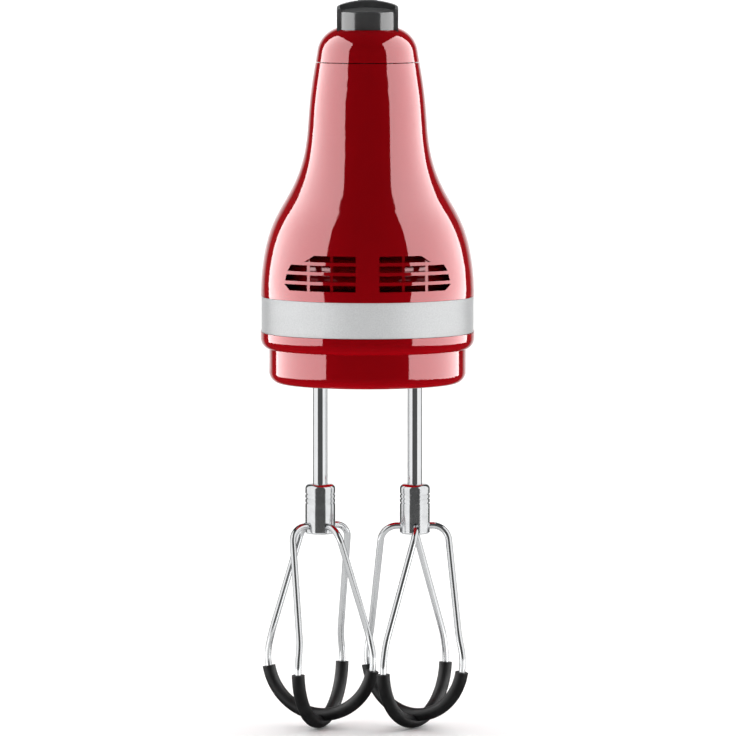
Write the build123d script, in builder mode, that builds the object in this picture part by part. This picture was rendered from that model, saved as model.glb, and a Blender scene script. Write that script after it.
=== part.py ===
from build123d import *
import os
from math import acos, atan2, cos, degrees, pi, radians, sin, sqrt, tan

# Hand mixer with two whisk beaters, modelled as the pieces it comes apart into. Millimetres.
# X points right, Y from the nose to the heel, Z up. The origin is on the surface under the tips of the
# beaters, in the middle of the overall width and length. The beaters hang under the nose, the handle is
# the upper side of the loop, and the heel is the flat rear face on which the mixer can be stood.

# ---------------------------------------------------------------- driving dimensions
WALL = 2.6
SNUG = 0.03                  # gap between fixed pieces that sit in one another
RUNNING = 0.05               # radial gap between a turning piece and its bush

BASE_Z = 149.7               # underside of the body
BAND_LOW_Z = 171.5           # the silver band lies between these two heights
BAND_HIGH_Z = 186.8
SEAM_Z = 286.5               # joint between the motor housing and the handle cover
SEAM_GAP = 0.35
TOP_Z = 302.0                # top of the handle, at its nose end
TOP_SLOPE = 0.035
TOP_ROUND = 12.0
HEEL_Y = 97.0

HAND_CENTRE = (7.0, 255.0)   # middle of the hand hole, as Y and Z
HAND_SIZE = (102.0, 34.0)
HAND_CORNER = 15.0
HAND_ROUND = 9.0

SHAFT_X = 20.3               # the two beater axes stand at plus and minus this X
SHAFT_Y = -49.0
SPINDLE_SPOTS = [(-SHAFT_X, SHAFT_Y), (SHAFT_X, SHAFT_Y)]
SHAFT_R = 3.1
SHAFT_TOP_Z = 206.0
SHAFT_LOW_Z = 91.5

HUB_R = 6.5
HUB_LOW_Z = 84.2
HUB_HIGH_Z = 105.7
WIRE_R = 1.4
WIRE_EXIT_Z = 87.6
WIRE_CORNER = 14.0           # radius at which a wire turns down from the hub
WIRE_TWIST = 37.0            # turn of a loop's upper end about the shaft, against its arc
CAGE_R = 24.5                # radius of the arc under the cage
SLEEVE_R = 2.8
LOW_ARC_Z = CAGE_R + SLEEVE_R
HIGH_ARC_Z = LOW_ARC_Z + 2 * WIRE_R + 0.1
SLEEVE_TOP_Z = 25.8
LOW_LOOP_ANGLE = {"left": 67.7, "right": 56.3}
SIDES = {"left": -1, "right": 1}

DRIVE_Z = 196.0              # height of the motor's axis
GEAR_TEETH = 30
WORM_STARTS = 2
WORM_PITCH_R = 4.7
GEAR_PITCH_R = SHAFT_X - WORM_PITCH_R
TOOTH_PITCH = 2 * pi * GEAR_PITCH_R / GEAR_TEETH
WORM_LEAD = TOOTH_PITCH * WORM_STARTS
TOOTH_WIDTH = TOOTH_PITCH / 2 - 0.28
ADDENDUM = 0.85
DEDENDUM = 1.1
FLANK_SLOPE = tan(radians(20))
GEAR_WIDTH = 7.0
WORM_LENGTH = 26.0

SPINDLE_R = 6.0
SPINDLE_LOW_Z = 151.5
SPINDLE_HIGH_Z = 205.5
SPINDLE_BORE_R = 3.2
FIN_Z = (178.0, 184.0)       # driving fins of a beater's shaft, which key into slots in the spindle
FIN_R = 4.2
FIN_WIDTH = 1.6
FIN_SLOT_R = 4.4
FIN_SLOT_WIDTH = 2.0
CORD_INLET_R = 3.6

FRAME_FLOOR_Z = (162.0, 168.0)
FRAME_ROOF_Z = (203.0, 207.0)
FRAME_WALL_Y = (-27.0, -22.0)
FRAME_PILLAR_Y = (-73.0, -67.0)

MOTOR_Y = (-22.0, 30.0)
MOTOR_R = 25.0
MOTOR_BORE_R = 22.0
CORE_R = 17.8
MOTOR_SHAFT_R = 2.5
COMMUTATOR_R = 8.0

EJECT_Y = -65.5
SPEED_TRAVEL = 20.0
SWIVEL_Z = 258.0

# One level of the upper body per row: height, half width of the nose, front of the nose, depth of the
# nose's curve, half width at the waist, half width at the heel, rear of the heel.
LEVELS = [
    (180.0, 45.5, -96.8, 44.0, 44.3, 40.0, 95.0),
    (192.0, 45.75, -97.0, 44.0, 44.4, 40.0, 95.0),
    (204.0, 44.4, -96.0, 43.0, 43.0, 38.8, 95.0),
    (214.5, 41.7, -94.0, 41.0, 39.8, 36.5, 94.8),
    (221.5, 38.6, -91.7, 38.0, 35.6, 34.0, 94.3),
    (228.5, 34.6, -88.6, 35.0, 30.6, 30.8, 93.5),
    (235.5, 30.9, -85.5, 32.0, 26.2, 27.9, 92.5),
    (243.0, 28.1, -82.8, 29.5, 23.2, 25.8, 91.2),
    (252.0, 26.2, -80.6, 27.5, 21.4, 24.2, 89.5),
    (264.0, 25.1, -79.0, 26.2, 20.6, 23.2, 87.0),
    (278.0, 23.6, -77.8, 25.0, 20.2, 22.0, 83.5),
    (292.0, 21.3, -76.6, 22.8, 19.3, 21.0, 79.0),
    (306.0, 18.2, -75.4, 20.4, 17.8, 20.0, 74.5),
]
BAND_LEVEL = (192.0, 46.1, -97.0, 44.0, 44.6, 40.0, 95.0)
HEEL_DEPTH = 26.0
NOSE_STRETCH = 1.42          # where the sides begin behind the nose, as a share of its curve's depth
NOSE_EASE = 0.988            # half width there, as a share of the nose's

os.makedirs("parts", exist_ok=True)


def keep(piece, name):
    """Labels a finished piece and writes it to the file of its node."""
    piece.part.label = name
    export_step(piece.part, f"parts/{name}.step")


# ---------------------------------------------------------------- the body's form
def ease(share):
    return share * share * (3 - 2 * share)


def plan_points(level, inset):
    """Points of a closed plan curve: an elliptical nose, sides with a waist, and an elliptical heel."""
    _, nose_w, front, nose_depth, waist_w, heel_w, rear = level
    nose_w, waist_w, heel_w = nose_w - inset, waist_w - inset, heel_w - inset
    front, rear, nose_depth = front + inset, rear - inset, nose_depth - inset
    heel_depth = min(heel_w, HEEL_DEPTH)
    right = [(nose_w * sin(radians(t)), front + nose_depth * (1 - cos(radians(t)))) for t in (22, 44, 67)]
    side_start, side_end = front + NOSE_STRETCH * nose_depth, rear - heel_depth
    side_w = NOSE_EASE * nose_w
    for share in (0, 0.2, 0.4, 0.6, 0.8, 1.0):
        if share < 0.5:
            x = side_w + (waist_w - side_w) * ease(2 * share)
        else:
            x = waist_w + (heel_w - waist_w) * ease(2 * share - 1)
        right.append((x, side_start + (side_end - side_start) * share))
    right += [(heel_w * sin(radians(t)), rear - heel_depth * (1 - cos(radians(t)))) for t in (66, 44, 22)]
    return [(0, rear)] + [(-x, y) for x, y in reversed(right)] + [(0, front)] + right


def plan_face(level, inset, z):
    """The filled plan curve of one level, at height z."""
    with BuildSketch(Plane.XY.offset(z)) as face:
        with BuildLine():
            Spline(*plan_points(level, inset), periodic=True)
        make_face()
    return face.sketch


def band_block(inset, low, high):
    """A straight-sided block with the plan curve that the body has at its band."""
    with BuildPart() as block:
        add(plan_face(BAND_LEVEL, inset, low))
        extrude(amount=high - low)
    return block.part


def loft_levels(levels, inset):
    with BuildPart() as form:
        for level in levels:
            add(plan_face(level, inset, level[0]))
        loft()
    return form.part


def body_form(inset):
    """The upper body and handle as one solid, drawn in by inset all round, with the hand hole through it."""
    with BuildPart() as form:
        add(loft_levels(LEVELS, inset))
        split(bisect_by=Plane(origin=(0, -60, TOP_Z - inset), z_dir=(0, TOP_SLOPE, 1)), keep=Keep.BOTTOM)
        fillet(form.faces().sort_by(Axis.Z)[-1].edges(), radius=TOP_ROUND - inset)
        with BuildSketch(Plane.YZ):
            with Locations(HAND_CENTRE):
                RectangleRounded(HAND_SIZE[0] + 2 * inset, HAND_SIZE[1] + 2 * inset, HAND_CORNER + inset)
        extrude(amount=60, both=True, mode=Mode.SUBTRACT)
        rims = [edge for edge in form.edges(Select.LAST) if edge.geom_type != GeomType.LINE]
        fillet(rims, radius=HAND_ROUND - inset)
    return form.part


def slab(low, high):
    """A block wider than the body, between two heights."""
    with BuildPart() as block:
        with Locations((0, 0, (low + high) / 2)):
            Box(120, 220, high - low)
    return block.part


outer_form = body_form(0)
inner_form = body_form(WALL)
top_plane = Plane(origin=(0, -60, TOP_Z), x_dir=(1, 0, 0), z_dir=(0, TOP_SLOPE, 1))

# ---------------------------------------------------------------- vents in the nose
VENT_PITCH = 4.1
VENT_ROWS = 4
VENT_TOP_Z = 204.9
VENT_HEIGHT = 2.7
VENT_INNER_X = 5.0
VENT_RIBS_X = (15.1, 24.9)
VENT_RIB_WIDTH = 1.2
VENT_OUTLINE = [
    (22.0, 206.6), (26.9, 203.4), (32.2, 202.3), (33.9, 199.3), (34.9, 195.0), (35.1, 193.7), (32.4, 190.8),
]

with BuildPart() as vent_cutter:
    with BuildSketch(Plane.XZ.offset(100)):
        for row in range(VENT_ROWS):
            with Locations((0, VENT_TOP_Z - row * VENT_PITCH)):
                Rectangle(80, VENT_HEIGHT)
        with BuildLine():
            Polyline(*VENT_OUTLINE, *[(-x, z) for x, z in reversed(VENT_OUTLINE)], close=True)
        make_face(mode=Mode.INTERSECT)
        Rectangle(2 * VENT_INNER_X, 500, mode=Mode.SUBTRACT)
    extrude(amount=-48)

# the thin uprights in the slots stand a little behind the face
with BuildPart() as rib_zone:
    rib_z = VENT_TOP_Z - (VENT_ROWS - 1) / 2 * VENT_PITCH
    with Locations(*[(side * x, -75, rib_z) for x in VENT_RIBS_X for side in (-1, 1)]):
        Box(VENT_RIB_WIDTH, 50, VENT_ROWS * VENT_PITCH)

with BuildPart() as vent_ribs:
    add(loft_levels(LEVELS[:5], 0.9))
    add(loft_levels(LEVELS[:5], WALL + 0.2), mode=Mode.SUBTRACT)
    add(rib_zone.part, mode=Mode.INTERSECT)

# ---------------------------------------------------------------- motor housing
BASE_SCREWS = [(-34.0, -64.0), (34.0, -64.0), (-31.0, 62.0), (31.0, 62.0)]
FRAME_SCREWS = [(-34.5, -40.0), (34.5, -40.0), (-31.0, -15.0), (31.0, -15.0)]
BOARD_SCREWS = [(-9.0, -26.0), (9.0, -26.0), (-9.0, 42.0), (9.0, 42.0)]
SCREW_R = 1.5
BOSS_R = 4.0
BOSS_TOP_Z = 188.0
SHELF_Z = (256.0, 258.2)
BOARD_Z = (280.0, 281.6)
HOLE_ROOF_Z = HAND_CENTRE[1] + HAND_SIZE[1] / 2
SWIVEL_SEAT_Y = 86.6
SWIVEL_BACK_Y = 82.5
SWIVEL_NECK_R = 8.5
SWIVEL_HEAD_R = 11.6
EJECT_ROD_R = 3.0

# shelf across the front post, on which the ejector's spring stands
with BuildPart() as spring_shelf:
    with Locations((0, -63, sum(SHELF_Z) / 2)):
        Box(60, 34, SHELF_Z[1] - SHELF_Z[0])
    add(outer_form, mode=Mode.INTERSECT)

# thick seat in the rear post, in which the cord swivel turns
with BuildPart() as swivel_seat:
    with BuildSketch(Plane.XZ.offset(-SWIVEL_BACK_Y)):
        with Locations((0, SWIVEL_Z)):
            Circle(SWIVEL_HEAD_R + 2.6)
    extrude(amount=-12)
    add(outer_form, mode=Mode.INTERSECT)

# bosses for the base screws and for the gear frame, each tied to the skirt by a web
with BuildPart() as screw_bosses:
    for spots, low in ((BASE_SCREWS, BAND_LOW_Z + 0.1), (FRAME_SCREWS, FRAME_FLOOR_Z[1])):
        with BuildSketch(Plane.XY.offset(low)):
            with Locations(*spots):
                Circle(BOSS_R)
        extrude(amount=BOSS_TOP_Z - low)
    web_low = BAND_LOW_Z + 0.1
    for x, y in BASE_SCREWS + FRAME_SCREWS:
        with Locations((x + 5 * x / abs(x), y, (web_low + BOSS_TOP_Z) / 2)):
            Box(10, 3, BOSS_TOP_Z - web_low)
    add(band_block(2.2, FRAME_FLOOR_Z[1] - 1, BOSS_TOP_Z + 1), mode=Mode.INTERSECT)

with BuildPart() as motor_housing:
    add(outer_form & slab(BAND_HIGH_Z, SEAM_Z))
    add(inner_form & slab(BAND_HIGH_Z - 1, SEAM_Z + 1), mode=Mode.SUBTRACT)
    # skirt behind the silver band
    add(band_block(1.75, BAND_LOW_Z + 0.1, BAND_HIGH_Z + 2) - band_block(4.4, BAND_LOW_Z, BAND_HIGH_Z + 3))
    add(spring_shelf.part)
    add(swivel_seat.part)
    add(screw_bosses.part)
    # posts for the control board
    with BuildSketch(Plane.XY.offset(HOLE_ROOF_Z + 1)):
        with Locations(*BOARD_SCREWS):
            Circle(2.6)
    extrude(amount=BOARD_Z[0] - HOLE_ROOF_Z - 1)
    add(vent_cutter.part, mode=Mode.SUBTRACT)
    add(vent_ribs.part)
    # hole in the shelf for the ejector's rod
    with BuildSketch(Plane.XY.offset(SHELF_Z[0] - 1)):
        with Locations((0, EJECT_Y)):
            Circle(EJECT_ROD_R + 0.3)
    extrude(amount=4, mode=Mode.SUBTRACT)
    # pocket and bore of the swivel
    for y, radius in ((SWIVEL_SEAT_Y, SWIVEL_HEAD_R + 0.3), (SWIVEL_BACK_Y - 2, SWIVEL_NECK_R + RUNNING)):
        with BuildSketch(Plane.XZ.offset(-y)):
            with Locations((0, SWIVEL_Z)):
                Circle(radius)
        extrude(amount=-20, mode=Mode.SUBTRACT)
    # screw holes
    for spots, low, depth in ((BASE_SCREWS, BAND_LOW_Z, 14), (FRAME_SCREWS, FRAME_FLOOR_Z[1] - 1, 14),
                              (BOARD_SCREWS, BOARD_Z[0] + 1, -6)):
        with BuildSketch(Plane.XY.offset(low)):
            with Locations(*spots):
                Circle(SCREW_R + SNUG)
        extrude(amount=depth, mode=Mode.SUBTRACT)
keep(motor_housing, "motor_housing")

# ---------------------------------------------------------------- handle cover and the controls on it
BUTTON_HALF = 11.6
BUTTON_FRONT_Y = -70.5
BUTTON_BACK_Y = -60.4
BUTTON_BOW_R = 14.0
BUTTON_EDGE_Z = 308.2
BUTTON_SLOPE = 0.2
BUTTON_CROWN_R = 60.0
BUTTON_CORNER = 0.8
BUTTON_FLANGE_Z = (291.0, 293.0)
COLLAR_HALF = 13.0
COLLAR_FRONT_Y = -64.8
COLLAR_BACK_Y = -59.0
COLLAR_TOP_Z = 313.2
COLLAR_SLOPE = 0.3
COLLAR_CROWN_R = 37.0
SPEED_PLATE = (17.0, 50.0)
SPEED_PLATE_Y = -31.0
SPEED_PLATE_DEPTH = 1.0
SPEED_SLOT = (6.0, 30.5)
SPEED_STEM = (5.6, 10.0)
SPEED_REST_Y = -21.0
SPEED_TAB_TOP_Z = 313.5


def button_outline(grow, z):
    """Plan outline of the button, grown by a margin: square at the back and bowed at the front."""
    half, front, back = BUTTON_HALF + grow, BUTTON_FRONT_Y - grow, BUTTON_BACK_Y + grow
    bow = BUTTON_BOW_R - sqrt(BUTTON_BOW_R**2 - half**2)
    with BuildSketch(Plane.XY.offset(z)) as outline:
        with BuildLine():
            ThreePointArc((-half, front + bow), (0, front), (half, front + bow))
            Polyline((half, front + bow), (half, back), (-half, back), (-half, front + bow))
        make_face()
    return outline.sketch


def crown(y, z, slope, radius):
    """A long cylinder whose top line passes through (y, z) and rises towards the heel."""
    with BuildPart() as cylinder:
        with BuildSketch(Plane(origin=(0, y, z), x_dir=(1, 0, 0), z_dir=(0, 1, slope))):
            with Locations((0, radius)):
                Circle(radius)
        extrude(amount=40, both=True)
    return cylinder.part


with BuildPart() as handle_cover:
    add(outer_form & slab(SEAM_Z + SEAM_GAP, TOP_Z + 5))
    add(inner_form & slab(SEAM_Z, TOP_Z + 5), mode=Mode.SUBTRACT)
    # opening for the button and its collar
    add(button_outline(0.3, BUTTON_FLANGE_Z[0]))
    extrude(amount=30, mode=Mode.SUBTRACT)
    with BuildSketch(Plane.XY.offset(BUTTON_FLANGE_Z[0])):
        with Locations((0, (COLLAR_FRONT_Y + COLLAR_BACK_Y) / 2)):
            Rectangle(2 * COLLAR_HALF + 0.2, COLLAR_BACK_Y - COLLAR_FRONT_Y + 0.2)
    extrude(amount=30, mode=Mode.SUBTRACT)
    # recess of the speed plate and slot of the slider's stem
    with BuildSketch(top_plane.offset(-SPEED_PLATE_DEPTH)):
        with Locations((0, SPEED_PLATE_Y + 60)):
            RectangleRounded(*SPEED_PLATE, 4)
    extrude(amount=5, mode=Mode.SUBTRACT)
    with BuildSketch(Plane.XY.offset(SEAM_Z + 4)):
        with Locations((0, SPEED_PLATE_Y)):
            Rectangle(*SPEED_SLOT)
    extrude(amount=20, mode=Mode.SUBTRACT)
keep(handle_cover, "handle_cover")

with BuildPart() as button_collar:
    with BuildSketch(Plane.XY.offset(BUTTON_FLANGE_Z[1] + 0.3)):
        with Locations((0, (COLLAR_FRONT_Y + COLLAR_BACK_Y) / 2)):
            Rectangle(2 * COLLAR_HALF, COLLAR_BACK_Y - COLLAR_FRONT_Y)
    extrude(amount=25)
    add(crown(COLLAR_BACK_Y, COLLAR_TOP_Z, COLLAR_SLOPE, COLLAR_CROWN_R), mode=Mode.INTERSECT)
    add(button_outline(0.12, BUTTON_FLANGE_Z[0]))
    extrude(amount=40, mode=Mode.SUBTRACT)
    fillet(button_collar.edges().filter_by(Axis.Z).sort_by(Axis.Y)[-2:], radius=2.2)
keep(button_collar, "button_collar")

with BuildPart() as eject_button:
    add(button_outline(0, BUTTON_FLANGE_Z[0]))
    extrude(amount=30)
    add(crown(BUTTON_FRONT_Y, BUTTON_EDGE_Z, BUTTON_SLOPE, BUTTON_CROWN_R), mode=Mode.INTERSECT)
    fillet(eject_button.edges().filter_by(Axis.Z).sort_by(Axis.Y)[:2], radius=BUTTON_CORNER)
    top_edges = eject_button.faces().sort_by(Axis.Z)[-1].edges()
    fillet(top_edges, radius=0.6)
    # flange that stops under the collar
    with BuildSketch(Plane.XY.offset(BUTTON_FLANGE_Z[0])):
        with Locations((0, BUTTON_BACK_Y - 1.6)):
            Rectangle(2 * BUTTON_HALF + 2, 5)
    extrude(amount=BUTTON_FLANGE_Z[1] - BUTTON_FLANGE_Z[0])
    # hollow underside with a socket for the rod
    add(button_outline(-1.8, BUTTON_FLANGE_Z[0]))
    extrude(amount=14, mode=Mode.SUBTRACT)
    with BuildSketch(Plane.XY.offset(BUTTON_FLANGE_Z[0])):
        with Locations((0, EJECT_Y)):
            Circle(EJECT_ROD_R + 1.6)
            Circle(EJECT_ROD_R + SNUG, mode=Mode.SUBTRACT)
    extrude(amount=14)
keep(eject_button, "eject_button")

with BuildPart() as speed_plate:
    with BuildSketch(top_plane.offset(-SPEED_PLATE_DEPTH)):
        with Locations((0, SPEED_PLATE_Y + 60)):
            RectangleRounded(SPEED_PLATE[0] - 0.1, SPEED_PLATE[1] - 0.1, 4)
    extrude(amount=SPEED_PLATE_DEPTH + 0.25)
    with BuildSketch(Plane.XY.offset(SEAM_Z)):
        with Locations((0, SPEED_PLATE_Y)):
            Rectangle(*SPEED_SLOT)
    extrude(amount=25, mode=Mode.SUBTRACT)
keep(speed_plate, "speed_plate")

with BuildPart() as speed_slider:
    # guide under the cover, stem through the slot, base on the cover and a thumb tab
    with Locations((0, SPEED_REST_Y, 296.4)):
        Box(11, 17, 1.6)
    with Locations((0, SPEED_REST_Y, 299.6)):
        Box(*SPEED_STEM, 6)
    with BuildSketch(Plane.XY.offset(302.4)):
        with Locations((0, SPEED_REST_Y)):
            RectangleRounded(13, 17, 3)
    extrude(amount=3.2)
    fillet(speed_slider.edges().group_by(Axis.Z)[-1], radius=1.2)
    with BuildSketch(Plane.XY.offset(304.5)):
        with Locations((0, SPEED_REST_Y)):
            RectangleRounded(10.4, 8.0, 2)
    with BuildSketch(Plane.XY.offset(SPEED_TAB_TOP_Z)):
        with Locations((0, SPEED_REST_Y)):
            RectangleRounded(8.0, 4.4, 1.8)
    loft()
    fillet(speed_slider.edges().group_by(Axis.Z)[-1], radius=1.2)
    with Locations((0, SPEED_REST_Y, 292.6)):
        Box(3.4, 4, 7)
keep(speed_slider, "speed_slider")

# ---------------------------------------------------------------- base cover, silver band and heel pad
BASE_WALL_INSET = 3.8
BASE_FLOOR = 2.6
LIP_LOW_Z = 164.4
LIP_ROUND_TOP_Z = 169.2
LIP_ROUND_STEPS = (0, 30, 55, 75, 90)
LIP_INSET = 0.1
LIP_HOLLOW_Z = 167.4
BASE_ROUND = 4.6
SOCKET_R = 6.6
SCREW_HEAD_R = 2.9
SCREW_SEAT_Z = 163.0
PAD_Y = 80.0
PAD_CENTRE_Z = 205.0
PAD_SIZE = (46.0, 36.0)

# the lip under the band rolls in to the base's wall on a quarter ellipse
with BuildPart() as rolled_lip:
    for turn in LIP_ROUND_STEPS:
        inset = LIP_INSET + (BASE_WALL_INSET - LIP_INSET) * (1 - cos(radians(turn)))
        z = LIP_ROUND_TOP_Z - (LIP_ROUND_TOP_Z - LIP_LOW_Z) * sin(radians(turn))
        add(plan_face(BAND_LEVEL, inset, z))
    loft()

with BuildPart() as base_cover:
    add(band_block(BASE_WALL_INSET, BASE_Z, LIP_LOW_Z))
    fillet(base_cover.edges().group_by(Axis.Z)[0], radius=BASE_ROUND)
    add(rolled_lip.part)
    add(band_block(LIP_INSET, LIP_ROUND_TOP_Z, BAND_LOW_Z))
    # hollow, deeper behind the lip
    add(band_block(BASE_WALL_INSET + WALL, BASE_Z + BASE_FLOOR, BAND_LOW_Z + 1), mode=Mode.SUBTRACT)
    add(band_block(1.7 + WALL, LIP_HOLLOW_Z, BAND_LOW_Z + 1), mode=Mode.SUBTRACT)
    # posts for the base screws
    with BuildSketch(Plane.XY.offset(BASE_Z + 1)):
        with Locations(*BASE_SCREWS):
            Circle(BOSS_R + 0.8)
    extrude(amount=BAND_LOW_Z - BASE_Z - 1)
    head_hole = (SCREW_SEAT_Z - BASE_Z, SCREW_HEAD_R + 0.3)
    stem_hole = (BAND_HIGH_Z - BASE_Z, SCREW_R + SNUG)
    for depth, radius in (head_hole, stem_hole):
        with BuildSketch(Plane.XY.offset(BASE_Z)):
            with Locations(*BASE_SCREWS):
                Circle(radius)
        extrude(amount=depth, mode=Mode.SUBTRACT)
    # sockets through which the drive spindles take the beaters, each with a raised rim inside
    with BuildSketch(Plane.XY.offset(BASE_Z + 1)):
        with Locations(*SPINDLE_SPOTS):
            Circle(SOCKET_R + 2.4)
    extrude(amount=6)
    with BuildSketch(Plane.XY.offset(BASE_Z)):
        with Locations(*SPINDLE_SPOTS):
            Circle(SOCKET_R)
    extrude(amount=20, mode=Mode.SUBTRACT)
keep(base_cover, "base_cover")

with BuildPart() as trim_band:
    add(band_block(0.5, BAND_LOW_Z + 0.1, BAND_HIGH_Z - 0.1))
    add(band_block(1.72, BAND_LOW_Z, BAND_HIGH_Z), mode=Mode.SUBTRACT)
keep(trim_band, "trim_band")

with BuildPart() as heel_pad:
    with BuildSketch(Plane.XZ.offset(-PAD_Y)):
        with Locations((0, PAD_CENTRE_Z)):
            RectangleRounded(*PAD_SIZE, 8)
    extrude(amount=PAD_Y - HEEL_Y)
    fillet(heel_pad.edges().group_by(Axis.Y)[-1], radius=1.2)
    add(outer_form, mode=Mode.SUBTRACT)
keep(heel_pad, "heel_pad")


# ---------------------------------------------------------------- gear frame and its bushes
BUSH_R = 8.0
BUSH_FLANGE_R = 10.0
BUSH_FLANGE = 1.6
SHAFT_BUSH_R = 5.0
MOTOR_SCREW_X = 27.5

with BuildPart() as gear_frame:
    # floor with four ears
    with BuildSketch(Plane.XY.offset(FRAME_FLOOR_Z[0])):
        with Locations((0, -47.5)):
            RectangleRounded(54, 51, 8)
        with Locations((0, -39)):
            RectangleRounded(66, 34, 4)
        with Locations(*FRAME_SCREWS):
            Circle(4.4)
        for x, y in FRAME_SCREWS[2:]:
            with Locations((x, y - 5)):
                Rectangle(8.8, 10)
    extrude(amount=FRAME_FLOOR_Z[1] - FRAME_FLOOR_Z[0])
    # wall that carries the motor
    with Locations((0, sum(FRAME_WALL_Y) / 2, (FRAME_FLOOR_Z[0] + 222) / 2)):
        Box(61, FRAME_WALL_Y[1] - FRAME_WALL_Y[0], 222 - FRAME_FLOOR_Z[0])
    # roof and front pillar
    with BuildSketch(Plane.XY.offset(FRAME_ROOF_Z[0])):
        with Locations((0, -47.5)):
            RectangleRounded(62, 51, 10)
    extrude(amount=FRAME_ROOF_Z[1] - FRAME_ROOF_Z[0])
    with Locations((0, sum(FRAME_PILLAR_Y) / 2, (FRAME_FLOOR_Z[0] + FRAME_ROOF_Z[1]) / 2)):
        Box(15, FRAME_PILLAR_Y[1] - FRAME_PILLAR_Y[0], FRAME_ROOF_Z[1] - FRAME_FLOOR_Z[0])
    # holes for the spindle bushes, floor and roof alike
    with BuildSketch(Plane.XY.offset(FRAME_FLOOR_Z[0] - 1)):
        with Locations(*SPINDLE_SPOTS):
            Circle(BUSH_R)
    extrude(amount=60, mode=Mode.SUBTRACT)
    # seats of the shaft's bushes, and clearance for the motor screws
    with BuildSketch(Plane.XZ.offset(80)):
        with Locations((0, DRIVE_Z)):
            Circle(SHAFT_BUSH_R)
    extrude(amount=-70, mode=Mode.SUBTRACT)
    with BuildSketch(Plane.XZ.offset(-FRAME_WALL_Y[0])):
        with Locations((-MOTOR_SCREW_X, DRIVE_Z), (MOTOR_SCREW_X, DRIVE_Z)):
            Circle(SCREW_R + SNUG)
    extrude(amount=-10, mode=Mode.SUBTRACT)
    with BuildSketch(Plane.XY.offset(FRAME_FLOOR_Z[0] - 1)):
        with Locations(*FRAME_SCREWS):
            Circle(SCREW_R + SNUG)
    extrude(amount=8, mode=Mode.SUBTRACT)
keep(gear_frame, "gear_frame")


def flanged_bushes(name, seat_z, seat_height, flange_z):
    """Two flanged bushes for the spindles, at one height of the frame."""
    with BuildPart() as bushes:
        with BuildSketch(Plane.XY.offset(seat_z)):
            with Locations(*SPINDLE_SPOTS):
                Circle(BUSH_R)
        extrude(amount=seat_height)
        with BuildSketch(Plane.XY.offset(flange_z)):
            with Locations(*SPINDLE_SPOTS):
                Circle(BUSH_FLANGE_R)
        extrude(amount=BUSH_FLANGE)
        with BuildSketch(Plane.XY.offset(seat_z - 5)):
            with Locations(*SPINDLE_SPOTS):
                Circle(SPINDLE_R + RUNNING)
        extrude(amount=20, mode=Mode.SUBTRACT)
    keep(bushes, name)


LOWER_SEAT_Z = FRAME_FLOOR_Z[0]
flanged_bushes("lower_spindle_bushes", LOWER_SEAT_Z, FRAME_FLOOR_Z[1] - LOWER_SEAT_Z, FRAME_FLOOR_Z[1])
UPPER_SEAT_Z = FRAME_ROOF_Z[0] - BUSH_FLANGE
flanged_bushes("upper_spindle_bushes", UPPER_SEAT_Z, FRAME_ROOF_Z[1] - UPPER_SEAT_Z, UPPER_SEAT_Z)


def shaft_bush(name, low_y, high_y, outer_r):
    """A plain bush round the motor shaft."""
    with BuildPart() as bush:
        with BuildSketch(Plane.XZ.offset(-low_y)):
            with Locations((0, DRIVE_Z)):
                Circle(outer_r)
                Circle(MOTOR_SHAFT_R + RUNNING, mode=Mode.SUBTRACT)
        extrude(amount=low_y - high_y)
    keep(bush, name)


shaft_bush("worm_end_bush", *FRAME_PILLAR_Y, SHAFT_BUSH_R)
shaft_bush("front_motor_bush", *FRAME_WALL_Y, SHAFT_BUSH_R)
shaft_bush("rear_motor_bush", 31, 38, SHAFT_BUSH_R)

# ---------------------------------------------------------------- worm drive
GEAR_HUB_R = 9.0
GEAR_HUB_Z = (172.6, 201.3)
SPINDLE_COLLAR_R = 9.0
SPINDLE_COLLAR_Z = (169.7, 172.6)


def flank_width(width, height):
    """Width of a tooth at a height above its pitch line."""
    return width - 2 * height * FLANK_SLOPE


def polar(radius, angle):
    return (radius * cos(angle), radius * sin(angle))


def worm_section():
    """Cross-section of the worm: two lobes on a round core."""
    root, tip = WORM_PITCH_R - DEDENDUM, WORM_PITCH_R + ADDENDUM
    heights = [root - WORM_PITCH_R, 0, ADDENDUM]
    flank = [(WORM_PITCH_R + h, pi * flank_width(TOOTH_WIDTH, h) / WORM_LEAD) for h in heights]
    with BuildSketch(Plane.XY) as section:
        for turn in range(WORM_STARTS):
            middle = pi / 2 + 2 * pi * turn / WORM_STARTS
            rising = [polar(r, middle - a) for r, a in flank]
            falling = [polar(r, middle + a) for r, a in reversed(flank)]
            with BuildLine():
                Spline(*rising)
                ThreePointArc(rising[-1], polar(tip, middle), falling[0])
                Spline(*falling)
                Polyline(falling[-1], (0, 0), rising[0])
            make_face()
        Circle(root)
    return section.sketch


def gear_section():
    """Cross-section of the worm wheel, with a tooth on its own x axis."""
    root, tip = GEAR_PITCH_R - DEDENDUM, GEAR_PITCH_R + ADDENDUM
    with BuildSketch(Plane.XY) as section:
        Circle(root)
        for tooth in range(GEAR_TEETH):
            middle = 2 * pi * tooth / GEAR_TEETH
            points = []
            for h in (-DEDENDUM - 0.2, 0, ADDENDUM):
                points.append((GEAR_PITCH_R + h, flank_width(TOOTH_WIDTH, h) / 2 / GEAR_PITCH_R))
            corners = [polar(r, middle - a) for r, a in points]
            corners += [polar(r, middle + a) for r, a in reversed(points)]
            with BuildLine():
                Polyline(*corners, close=True)
            make_face()
    return section.sketch


worm_turn = 360 * WORM_LENGTH / WORM_LEAD
gear_twist = degrees(GEAR_WIDTH * WORM_LEAD / (2 * pi * WORM_PITCH_R) / GEAR_PITCH_R)
WORM_LOW_Y = SHAFT_Y - WORM_LENGTH / 2
SHAFT_FRONT_Y = -72.5
SHAFT_REAR_Y = 52.0

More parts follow.
